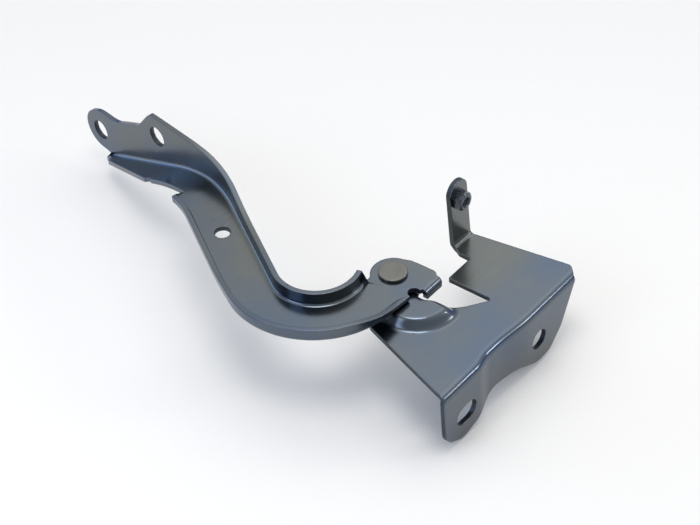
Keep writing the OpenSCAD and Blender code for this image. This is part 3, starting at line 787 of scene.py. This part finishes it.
def makeRivet(size):
    r, top, rim = size["head"] / 2, size["armTop"] + size["headHeight"], size["rim"]
    low, p, tall, curve = size["seat"], size["peen"] / 2, size["peenHeight"], size["peenRound"]
    tenon, shoulder, under = size["tenon"] / 2, size["shoulder"] / 2, size["underRim"]
    proud, hollow, middle = [top + d for d in size["dish"]]
    profile = [(size["hair"], low - tall), (p * 0.5, low - tall + size["peenSag"])]
    profile += arcPoints(p - curve, low - tall * 0.5, curve, tall * 0.5, 270, 360, size["peenCount"])
    profile += [(p, low), (tenon, low), (tenon, size["bossTop"]), (shoulder, size["bossTop"]),
                (shoulder, size["armTop"]), (r - under, size["armTop"]), (r, size["armTop"] + under)]
    profile += arcPoints(r - rim, top - rim, rim, rim, 0, 90, size["rimCount"])
    profile += [(r - size["dishEdge"], proud), (r * 0.5, hollow), (size["hair"], middle)]
    circles = [[(x, y, h) for x, y in circlePoints(*size["pivot"], w, size["count"])] for w, h in profile]
    # the hair of a hole that the turning leaves on its axis is welded shut
    obj = weld(skin("pivotRivet", list(zip(*circles)), closed=True), size["weld"])
    return finished(obj, "pivot rivet")


# weld nut: hexagon with turned corners on the tab's front, and its thread
nutSizes = {
    "place": nutPlace, "flats": 10.0, "height": 5.0, "chamfer": 1.0, "chamferLead": 0.1,
    "faceInset": 0.3, "bore": 5.0, "pitch": 1.0, "depth": 0.45, "mouth": 0.5, "mouthDepth": 0.6,
    "count": 96, "chamferSteps": 8, "turnCount": 40, "ridgeCount": 4,
}


def makeNut(size):
    x, y, h = size["place"]
    half, tall = size["flats"] / 2, size["height"]
    corner = half / math.cos(math.radians(30)) + size["chamferLead"]
    root = size["bore"] / 2 + size["depth"]
    # each ring is a hexagon, cut off where it reaches past a radius
    steps = [(0.0, size["flats"])]
    steps += zip(spread(tall - size["chamfer"], tall, size["chamferSteps"]),
                 spread(corner, half - size["faceInset"], size["chamferSteps"]))
    steps += [(tall, root + size["mouth"]), (tall - size["mouthDepth"], root), (0.0, root)]
    rings = []
    for depth, limit in steps:
        ring = []
        for g in [2 * math.pi * k / size["count"] for k in range(size["count"])]:
            offFlat = math.radians((math.degrees(g) + 30) % 60 - 30)
            r = min(half / math.cos(offFlat), limit)
            ring.append((x + r * math.cos(g), y - depth, h + r * math.sin(g)))
        rings.append(ring)
    return finished(skin("weldNut", rings, closed=True), "weld nut")


def makeThread(size, material):
    # the thread is a ridge that follows a helix in the nut's bore
    tree = bpy.data.node_groups.new("nutThread", "GeometryNodeTree")
    tree.interface.new_socket("Geometry", in_out="OUTPUT", socket_type="NodeSocketGeometry")
    settings = {}
    for name, kind, value in (
            ("Turns", "Float", size["height"] / size["pitch"]),
            ("Radius", "Float", (size["bore"] / 2 + size["depth"]) * mm),
            ("Length", "Float", size["height"] * mm), ("Ridge", "Float", size["depth"] * mm),
            ("Material", "Material", material)):
        socket = tree.interface.new_socket(name, in_out="INPUT", socket_type="NodeSocket" + kind)
        settings[socket.identifier] = value
    given = addNode(tree, "NodeGroupInput").outputs
    helix = addNode(tree, "GeometryNodeCurveSpiral", {"Resolution": size["turnCount"]}, {
        "Rotations": given["Turns"], "Start Radius": given["Radius"],
        "End Radius": given["Radius"], "Height": given["Length"]})
    profile = addNode(tree, "GeometryNodeCurvePrimitiveCircle", {"Resolution": size["ridgeCount"]},
                      {"Radius": given["Ridge"]})
    ridge = addNode(tree, "GeometryNodeCurveToMesh", {"Fill Caps": True},
                    {"Curve": helix.outputs[0], "Profile Curve": profile.outputs[0]})
    whole = addNode(tree, "GeometryNodeRealizeInstances", None, {0: ridge.outputs[0]})
    coat = addNode(tree, "GeometryNodeSetMaterial", None,
                   {0: whole.outputs[0], "Material": given["Material"]})
    addNode(tree, "NodeGroupOutput", None, {0: coat.outputs[0]})
    obj = addObject("nutThread", bpy.data.meshes.new("nutThread"))
    mod = obj.modifiers.new("thread", "NODES")
    mod.node_group = tree
    for identifier, value in settings.items():
        mod[identifier] = value
    bake(obj)
    upright = Matrix.Rotation(math.radians(90), 4, "X")
    obj.data.transform(Matrix.Translation(Vector(size["place"]) * mm) @ upright)
    print("nut thread", len(obj.data.polygons), "faces")
    return obj


# marks on the metals, in millimetres, and where on its noise each one begins and is full
# the grain and the rubs are drawn coarser than real ones, which are too fine to show
markSizes = {
    "driftShow": (0.3, 0.7),
    "rub": (16.0, 0.45, 1.4), "rubTurn": 33.0, "rubShow": (0.62, 0.72), "rubGain": 1.9,
    "patch": 30.0, "patchShow": (0.54, 0.7),
    "speck": 11.0, "speckShow": (0.02, 0.05), "speckDark": 0.45,
    # sheared faces are drawn at half the colour, which is painted shade on the side walls of the rims, the
    # holes and the nose
    "shearShow": (0.0, 1.0), "shearPaintedShade": 0.5, "shearRough": 0.22, "pitDepth": 0.2,
}


def makeMetal(name, light, dark, rough, drift=55.0, grain=0.5, roughGrain=0.04, rubs=0.25, pitting=0.06):
    size = markSizes
    material = bpy.data.materials.new(name)
    tree = emptyTree(material)
    coords = {"Vector": addNode(tree, "ShaderNodeTexCoord").outputs["Object"]}
    turned = addNode(tree, "ShaderNodeMapping", {
        "Rotation": (0, 0, math.radians(size["rubTurn"])), "Scale": [1000 / d for d in size["rub"]]}, coords)
    streaks = addNode(tree, "ShaderNodeTexNoise", {"Scale": 1.0, "Detail": 1.0},
                      {"Vector": turned.outputs[0]})
    clouds = addNode(tree, "ShaderNodeTexNoise", {"Scale": 1000 / drift, "Detail": 3.0}, coords)
    patches = addNode(tree, "ShaderNodeTexNoise", {"Scale": 1000 / size["patch"], "Detail": 1.0}, coords)
    pits = addNode(tree, "ShaderNodeTexNoise", {"Scale": 1000 / grain, "Detail": 2.0}, coords)
    dots = addNode(tree, "ShaderNodeTexVoronoi", {"Scale": 1000 / size["speck"]}, coords)
    shear = addNode(tree, "ShaderNodeAttribute", {"attribute_name": "sheared"}).outputs["Fac"]
    shows = {}
    for mark, source, least, most in (
            ("drift", clouds.outputs["Fac"], rough - roughGrain, rough + roughGrain),
            ("rub", streaks.outputs["Fac"], 0.0, 1.0), ("patch", patches.outputs["Fac"], 0.0, rubs),
            ("speck", dots.outputs["Distance"], size["speckDark"], 1.0),
            ("shear", shear, 1.0, size["shearPaintedShade"])):
        low, high = size[mark + "Show"]
        shown = addNode(tree, "ShaderNodeMapRange", {
            "From Min": low, "From Max": high, "To Min": least, "To Max": most}, {"Value": source})
        shows[mark] = shown.outputs["Result"]
    # the tone drifts between dark and light, and the shine with it
    tint = addNode(tree, "ShaderNodeValToRGB", None, {0: clouds.outputs["Fac"]})
    for stop, place, tone in zip(tint.color_ramp.elements, size["driftShow"], (dark, light)):
        stop.position = place
        stop.color = linear(tone)
    # rubs are long thin streaks, kept to patches
    rub = addNode(tree, "ShaderNodeMath", {"operation": "MULTIPLY"}, {0: shows["rub"], 1: shows["patch"]})
    bright = [min(1.0, c * size["rubGain"]) for c in linear(light)[:3]] + [1.0]
    colour = addNode(tree, "ShaderNodeMix", {"data_type": "RGBA", 7: bright},
                     {0: rub.outputs[0], 6: tint.outputs["Color"]})
    # dark specks, a few to the square inch; sheared faces are duller (rougher), and drawn darker as painted
    # shade on the side walls of the rims, the holes and the nose
    specksAndShade = addNode(tree, "ShaderNodeMath", {"operation": "MULTIPLY"}, {0: shows["speck"], 1: shows["shear"]})
    toned = addNode(tree, "ShaderNodeVectorMath", {"operation": "SCALE"},
                    {0: colour.outputs[2], "Scale": specksAndShade.outputs[0]})
    dull = addNode(tree, "ShaderNodeMath", {"operation": "MULTIPLY_ADD", 1: size["shearRough"]},
                   {0: shear, 2: shows["drift"]})
    bump = addNode(tree, "ShaderNodeBump", {"Strength": pitting, "Distance": size["pitDepth"] * mm},
                   {"Height": pits.outputs["Fac"]})
    shader = addNode(tree, "ShaderNodeBsdfPrincipled", {"Metallic": 1.0}, {
        "Base Color": toned.outputs[0], "Roughness": dull.outputs[0], "Normal": bump.outputs["Normal"]})
    addNode(tree, "ShaderNodeOutputMaterial", None, {"Surface": shader.outputs[0]})
    return material


# zinc plated steel, rolled and pressed: a cold sheen that drifts from grey to blue, with fine rubs
zincSheet = makeMetal("zincPlatedSteel", "#6a6d6b", "#586475", 0.22)
# upset steel, bare: a warmer grey than the sheet, with the fine dimples of the forming tool
rivetSteel = makeMetal("upsetSteel", "#747370", "#6c6b66", 0.28, drift=8.0, grain=0.9, rubs=0.3, pitting=0.25)
# dark nut steel, forged and oiled: small blotches of dark and glint
nutSteel = makeMetal("darkNutSteel", "#6c7178", "#42464c", 0.26, drift=1.6, grain=0.6,
                     roughGrain=0.1, rubs=0.3, pitting=0.35)
# sintered bronze, pressed powder soaked in oil: a dull brown gold
bushBronze = makeMetal("sinteredBronze", "#a37b45", "#8a6536", 0.5, drift=2.0)
print("metals made")

hingeArm = makeArm(armSizes)
bodyBracket = makeBracket(bracketSizes)
pivotRivet = makeRivet(rivetSizes)
weldNut = makeNut(nutSizes)
nutThread = makeThread(nutSizes, nutSteel)

for piece, material, body, node, slotName in (
        (hingeArm, zincSheet, "arm", "hinge_arm", "zinc_plated_sheet"),
        (bodyBracket, zincSheet, "bracket", "body_bracket", "zinc_plated_sheet"),
        (pivotRivet, rivetSteel, "bracket", "pivot_rivet", "rivet_steel"),
        (weldNut, nutSteel, "bracket", "weld_nut", "nut_steel"),
        (nutThread, nutSteel, "bracket", None, "nut_steel")):
    piece.data.materials.clear()
    piece.data.materials.append(material)
    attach(piece, body)
    if node:
        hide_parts(node)

for node, material in (("pivot_bush", bushBronze), ("thrust_washer", rivetSteel),
                       ("backing_washer", rivetSteel)):
    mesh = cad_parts[node].data
    mesh.materials.clear()
    mesh.materials.append(material)
print("pieces ride on their bodies")

# floor of matt white paper, which gives a soft shadow and no shine
floorSizes = {"height": -19.0, "reach": 9000.0, "colour": "#f6f3ee"}


def makeFloor(size):
    bm = bmesh.new()
    reach, h = size["reach"], size["height"]
    corners = ((-reach, -reach), (reach, -reach), (reach, reach), (-reach, reach))
    bm.faces.new([bm.verts.new(Vector((x, y, h)) * mm) for x, y in corners])
    floor = meshObject("floor", bm)
    # from below the paper is clear, so that the hinge's underside can be seen
    paper = bpy.data.materials.new("matPaper")
    tree = emptyTree(paper)
    face = addNode(tree, "ShaderNodeBsdfDiffuse", {"Color": linear(size["colour"])})
    clear = addNode(tree, "ShaderNodeBsdfTransparent")
    under = addNode(tree, "ShaderNodeNewGeometry").outputs["Backfacing"]
    sheet = addNode(tree, "ShaderNodeMixShader", None, {0: under, 1: face.outputs[0], 2: clear.outputs[0]})
    addNode(tree, "ShaderNodeOutputMaterial", None, {"Surface": sheet.outputs[0]})
    floor.data.materials.append(paper)
    print("floor laid")


# room: a wide soft window on one side of dusk blue walls, so that bends in the metal read
# a low blue slit of light at the far side is what the channel's inside picks up
roomSizes = {
    "strength": 0.95, "hotGain": 1.9, "hotSpan": (0.9, 1.0), "riseSpan": (0.04, 0.55),
    # where each light lies, and how squarely a ray faces it as it sets in
    "sides": {"window": ((0.53, 0.2, 0.824), (0.05, 0.95)), "haze": ((-0.45, -0.89, 0.0), (0.1, 0.8)),
              "slit": ((-0.31, 0.95, 0.06), (0.86, 0.97))},
    # light levels
    "dusk": (0.25, 0.43, 0.95, 1), "wall": (0.22, 0.24, 0.26, 1), "haze": (0.52, 0.54, 0.57, 1),
    "slit": (1.45, 1.95, 2.8, 1), "window": (0.98, 0.99, 1.0, 1),
}


def makeRoom(size):
    world = bpy.data.worlds.new("studio")
    scene.world = world
    tree = emptyTree(world)
    view = addNode(tree, "ShaderNodeTexCoord").outputs["Generated"]
    height = addNode(tree, "ShaderNodeSeparateXYZ", None, {0: view}).outputs["Z"]
    spans = {"rise": (height, size["riseSpan"])}
    for name, (side, span) in size["sides"].items():
        dot = addNode(tree, "ShaderNodeVectorMath", {"operation": "DOT_PRODUCT", 1: side}, {0: view})
        spans[name] = (dot.outputs["Value"], span)
    spans["hot"] = (spans["window"][0], size["hotSpan"])
    shares = {}
    for name, (source, (low, high)) in spans.items():
        soft = addNode(tree, "ShaderNodeMapRange", {
            "interpolation_type": "SMOOTHSTEP", "From Min": low, "From Max": high}, {"Value": source})
        shares[name] = soft.outputs["Result"]
    pane = addNode(tree, "ShaderNodeMath", {"operation": "MULTIPLY"},
                   {0: shares["window"], 1: shares["rise"]})
    below = addNode(tree, "ShaderNodeMath", {"operation": "LESS_THAN", 1: 0.0}, {0: height})
    sky = addNode(tree, "ShaderNodeMix", {"data_type": "RGBA", 6: size["dusk"], 7: size["wall"]},
                  {0: shares["rise"]})
    for colour, share in (("haze", shares["haze"]), ("slit", shares["slit"]),
                          ("haze", below.outputs[0]), ("window", pane.outputs[0])):
        sky = addNode(tree, "ShaderNodeMix", {"data_type": "RGBA", 7: size[colour]},
                      {0: share, 6: sky.outputs[2]})
    # the middle of the window is hotter
    plain = size["strength"]
    hot = addNode(tree, "ShaderNodeMapRange", {"To Min": plain, "To Max": plain * size["hotGain"]},
                  {"Value": shares["hot"]})
    glow = addNode(tree, "ShaderNodeBackground", None,
                   {"Color": sky.outputs[2], "Strength": hot.outputs["Result"]})
    addNode(tree, "ShaderNodeOutputWorld", None, {"Surface": glow.outputs[0]})
    print("room lit")


# lamps: name, place, size, power and colour, all turned to one spot on the hinge
lampSizes = {
    "aim": (-40, 120, 0),
    "lamps": (("key", (480, -560, 470), 120, 0.6, "#ffffff"), ("top", (-100, 65, 950), 400, 2.3, "#ffffff"),
              ("left", (-706, 300, 540), 400, 1.4, "#cbdaf6")),
}


def makeLamps(size):
    for name, place, wide, power, colour in size["lamps"]:
        lamp = bpy.data.lights.new(name, "AREA")
        lamp.size = wide * mm
        lamp.energy = power
        lamp.color = linear(colour)[:3]
        obj = addObject(name, lamp)
        obj.location = Vector(place) * mm
        obj.rotation_euler = (Vector(size["aim"]) - Vector(place)).to_track_quat("-Z", "Y").to_euler()
    print("lamps hung")


# camera at the photograph's angle
cameraSizes = {"place": (-603.6, -396.4, 706.2), "right": (0.6305, -0.7752, -0.0389),
               "up": (0.5377, 0.4001, 0.7421), "lens": 97.03, "sensor": 36.0, "near": 10.0, "far": 20000.0}


def makeCamera(size):
    camera = bpy.data.cameras.new("camera")
    camera.lens = size["lens"]
    camera.sensor_width = size["sensor"]
    camera.clip_start, camera.clip_end = size["near"] * mm, size["far"] * mm
    obj = addObject("camera", camera)
    right = Vector(size["right"]).normalized()
    up = Vector(size["up"])
    up = (up - right * up.dot(right)).normalized()
    turn = Matrix((right, up, right.cross(up))).transposed().to_4x4()
    obj.matrix_world = Matrix.Translation(Vector(size["place"]) * mm) @ turn
    scene.camera = obj
    print("camera set")


makeFloor(floorSizes)
makeRoom(roomSizes)
makeLamps(lampSizes)
makeCamera(cameraSizes)
